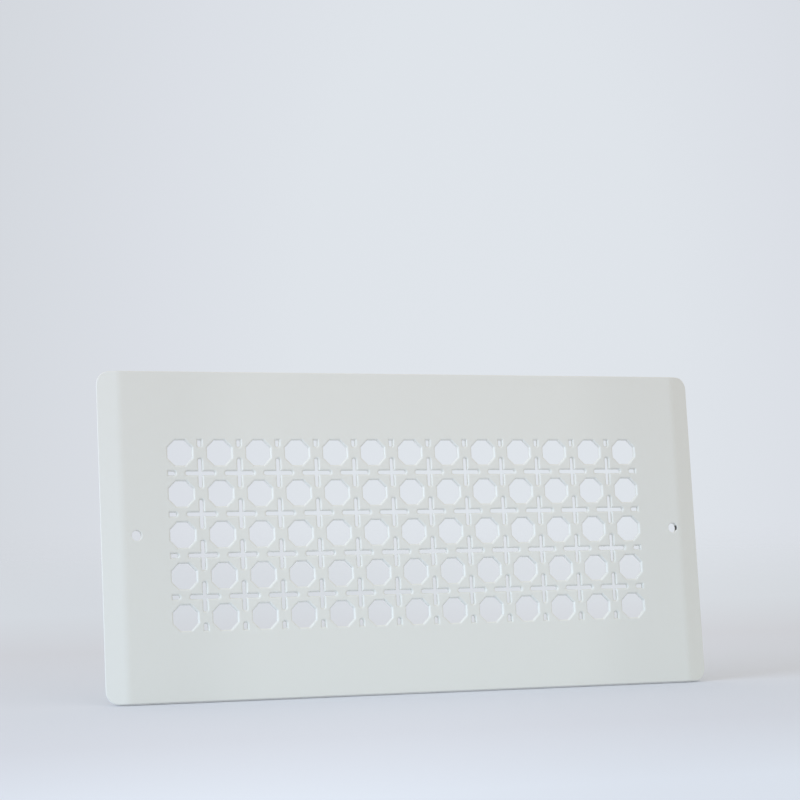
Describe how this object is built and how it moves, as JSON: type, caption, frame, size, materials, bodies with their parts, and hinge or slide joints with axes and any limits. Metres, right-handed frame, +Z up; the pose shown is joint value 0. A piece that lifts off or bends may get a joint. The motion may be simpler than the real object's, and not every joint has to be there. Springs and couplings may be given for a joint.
{
  "type": "wall vent grille",
  "caption": "Rectangular sheet-metal wall vent grille with a cane-webbing pattern of octagons and crossed slots, both ends bent back and a screw hole near each end.",
  "frame": {"origin": "midway between the two screw holes, on the back face of the flat panel", "axes": "+X along the width, to the right as seen from the front; +Z up; -Y out of the front face into the room, +Y into the wall"},
  "size_m": [0.3054, 0.0055, 0.1524],
  "materials": {
    "powder_coated_steel": "smooth semi-gloss off-white powder coat"
  },
  "bodies": {
    "root": {"vent_cover": "powder_coated_steel"}
  },
  "joints": []
}
